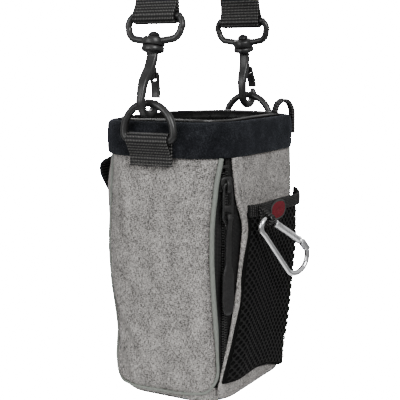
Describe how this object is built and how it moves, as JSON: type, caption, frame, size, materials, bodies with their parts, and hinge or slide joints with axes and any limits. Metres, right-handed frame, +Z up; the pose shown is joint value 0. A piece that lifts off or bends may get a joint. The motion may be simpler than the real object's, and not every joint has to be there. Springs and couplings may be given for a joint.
{
  "type": "treat pouch",
  "caption": "Soft dog-training treat pouch with velour rim, zipped side, mesh front pocket and wire carabiner, hung by swivel snap hooks from a webbing carry loop.",
  "frame": {"origin": "underside of the carry loop's top, on the pouch's middle line, where a hand or a peg holds it", "axes": "+X from the left D-ring to the right D-ring, -Y out of the front with the zip and the mesh pocket, +Z up"},
  "size_m": [0.1272, 0.1081, 0.2588],
  "materials": {
    "melange": "coated grey melange polyester weave",
    "velour": "napped blue-black velour",
    "lining": "glossy black coated nylon",
    "piping": "smooth grey-green binding over cord",
    "webbing": "ribbed black polypropylene webbing",
    "mesh": "black diamond net",
    "plastic": "black moulded nylon",
    "gunmetal": "satin black-grey coated zinc",
    "steel": "polished steel wire",
    "label": "woven label, plain dark red"
  },
  "bodies": {
    "strap": {"strap_webbing": "webbing", "swivel_eye_left": "gunmetal", "swivel_eye_right": "gunmetal"},
    "pouch": {"front_panel": "melange", "back_panel": "melange", "side_panel_left": "melange", "side_panel_right": "melange", "base_panel": "melange", "base_board": "plastic", "lining": "lining", "rim_band": "velour", "rim_bead": "lining", "piping_left": "piping", "piping_right": "piping", "ring_tab_left": "webbing", "ring_tab_right": "webbing", "zip_tape_left": "webbing", "zip_tape_right": "webbing", "zip_coil_left": "plastic", "zip_coil_right": "plastic", "zip_stop_bottom": "plastic", "zip_stop_top": "plastic", "zip_welt": "melange", "mesh_pocket": "mesh", "pocket_binding": "webbing", "label_patch": "label", "belt_loop_left": "webbing", "belt_loop_right": "webbing", "pull_loop": "webbing"},
    "ring_left": {"d_ring_left": "gunmetal"},
    "ring_right": {"d_ring_right": "gunmetal"},
    "hook_left": {"snap_hook_left": "gunmetal", "gate_pin_left": "gunmetal"},
    "hook_right": {"snap_hook_right": "gunmetal", "gate_pin_right": "gunmetal"},
    "gate_left": {"hook_gate_left": "gunmetal"},
    "gate_right": {"hook_gate_right": "gunmetal"},
    "slider": {"zip_slider": "plastic"},
    "tab": {"zip_tab": "plastic"},
    "puller": {"zip_puller": "plastic"},
    "ribbon": {"ribbon_loop": "webbing"},
    "carabiner": {"carabiner_body": "steel", "carabiner_pin": "steel"},
    "clip_gate": {"carabiner_gate": "steel"}
  },
  "joints": [
    {"name": "pouch_swing", "type": "hinge", "parent": "strap", "child": "pouch", "pos_m": [0, 0, -0.09745], "axis": [1, 0, 0], "range_deg": [-18, 18]},
    {"name": "hook_swivel_left", "type": "hinge", "parent": "strap", "child": "hook_left", "pos_m": [-0.055, 0, -0.09745], "axis": [0.1908, 0, 0.9816], "range_deg": [-20, 20]},
    {"name": "hook_gate_left", "type": "hinge", "parent": "hook_left", "child": "gate_left", "pos_m": [-0.04868, 0, -0.0838], "axis": [0, 1, 0], "range_deg": [0, 18], "stiffness_Nm_per_rad": 0.02, "springref_deg": -28.65},
    {"name": "ring_pivot_left", "type": "hinge", "parent": "pouch", "child": "ring_left", "pos_m": [-0.055, 0, -0.11625], "axis": [0, 1, 0], "range_deg": [-2, 2]},
    {"name": "hook_swivel_right", "type": "hinge", "parent": "strap", "child": "hook_right", "pos_m": [0.055, 0, -0.09745], "axis": [-0.1908, 0, 0.9816], "range_deg": [-20, 20]},
    {"name": "hook_gate_right", "type": "hinge", "parent": "hook_right", "child": "gate_right", "pos_m": [0.05575, 0, -0.08243], "axis": [0, 1, 0], "range_deg": [0, 18], "stiffness_Nm_per_rad": 0.02, "springref_deg": -28.65},
    {"name": "ring_pivot_right", "type": "hinge", "parent": "pouch", "child": "ring_right", "pos_m": [0.055, 0, -0.11625], "axis": [0, 1, 0], "range_deg": [-2, 2]},
    {"name": "zip_slide", "type": "slide", "parent": "pouch", "child": "slider", "axis": [0.0226, 0.0209, -0.9995], "range_m": [0, 0.086]},
    {"name": "tab_tilt", "type": "hinge", "parent": "slider", "child": "tab", "pos_m": [-0.03873, -0.03703, -0.13824], "axis": [-0.8568, 0.5155, -0.0086], "range_deg": [0, 100]},
    {"name": "puller_tilt", "type": "hinge", "parent": "tab", "child": "puller", "pos_m": [-0.03827, -0.03661, -0.15843], "axis": [-0.8568, 0.5155, -0.0086], "range_deg": [0, 14]},
    {"name": "ribbon_lift", "type": "hinge", "parent": "pouch", "child": "ribbon", "pos_m": [-0.016, -0.0449, -0.15225], "axis": [-1, 0, 0], "range_deg": [0, 60]},
    {"name": "carabiner_swing", "type": "hinge", "parent": "ribbon", "child": "carabiner", "pos_m": [-0.016, -0.0482, -0.16325], "axis": [0.342, 0.9397, 0], "range_deg": [-15, 52]},
    {"name": "carabiner_gate_hinge", "type": "hinge", "parent": "carabiner", "child": "clip_gate", "pos_m": [0.00864, -0.05717, -0.17464], "axis": [-0.342, -0.9397, 0], "range_deg": [0, 12], "stiffness_Nm_per_rad": 0.01, "springref_deg": -28.65}
  ]
}
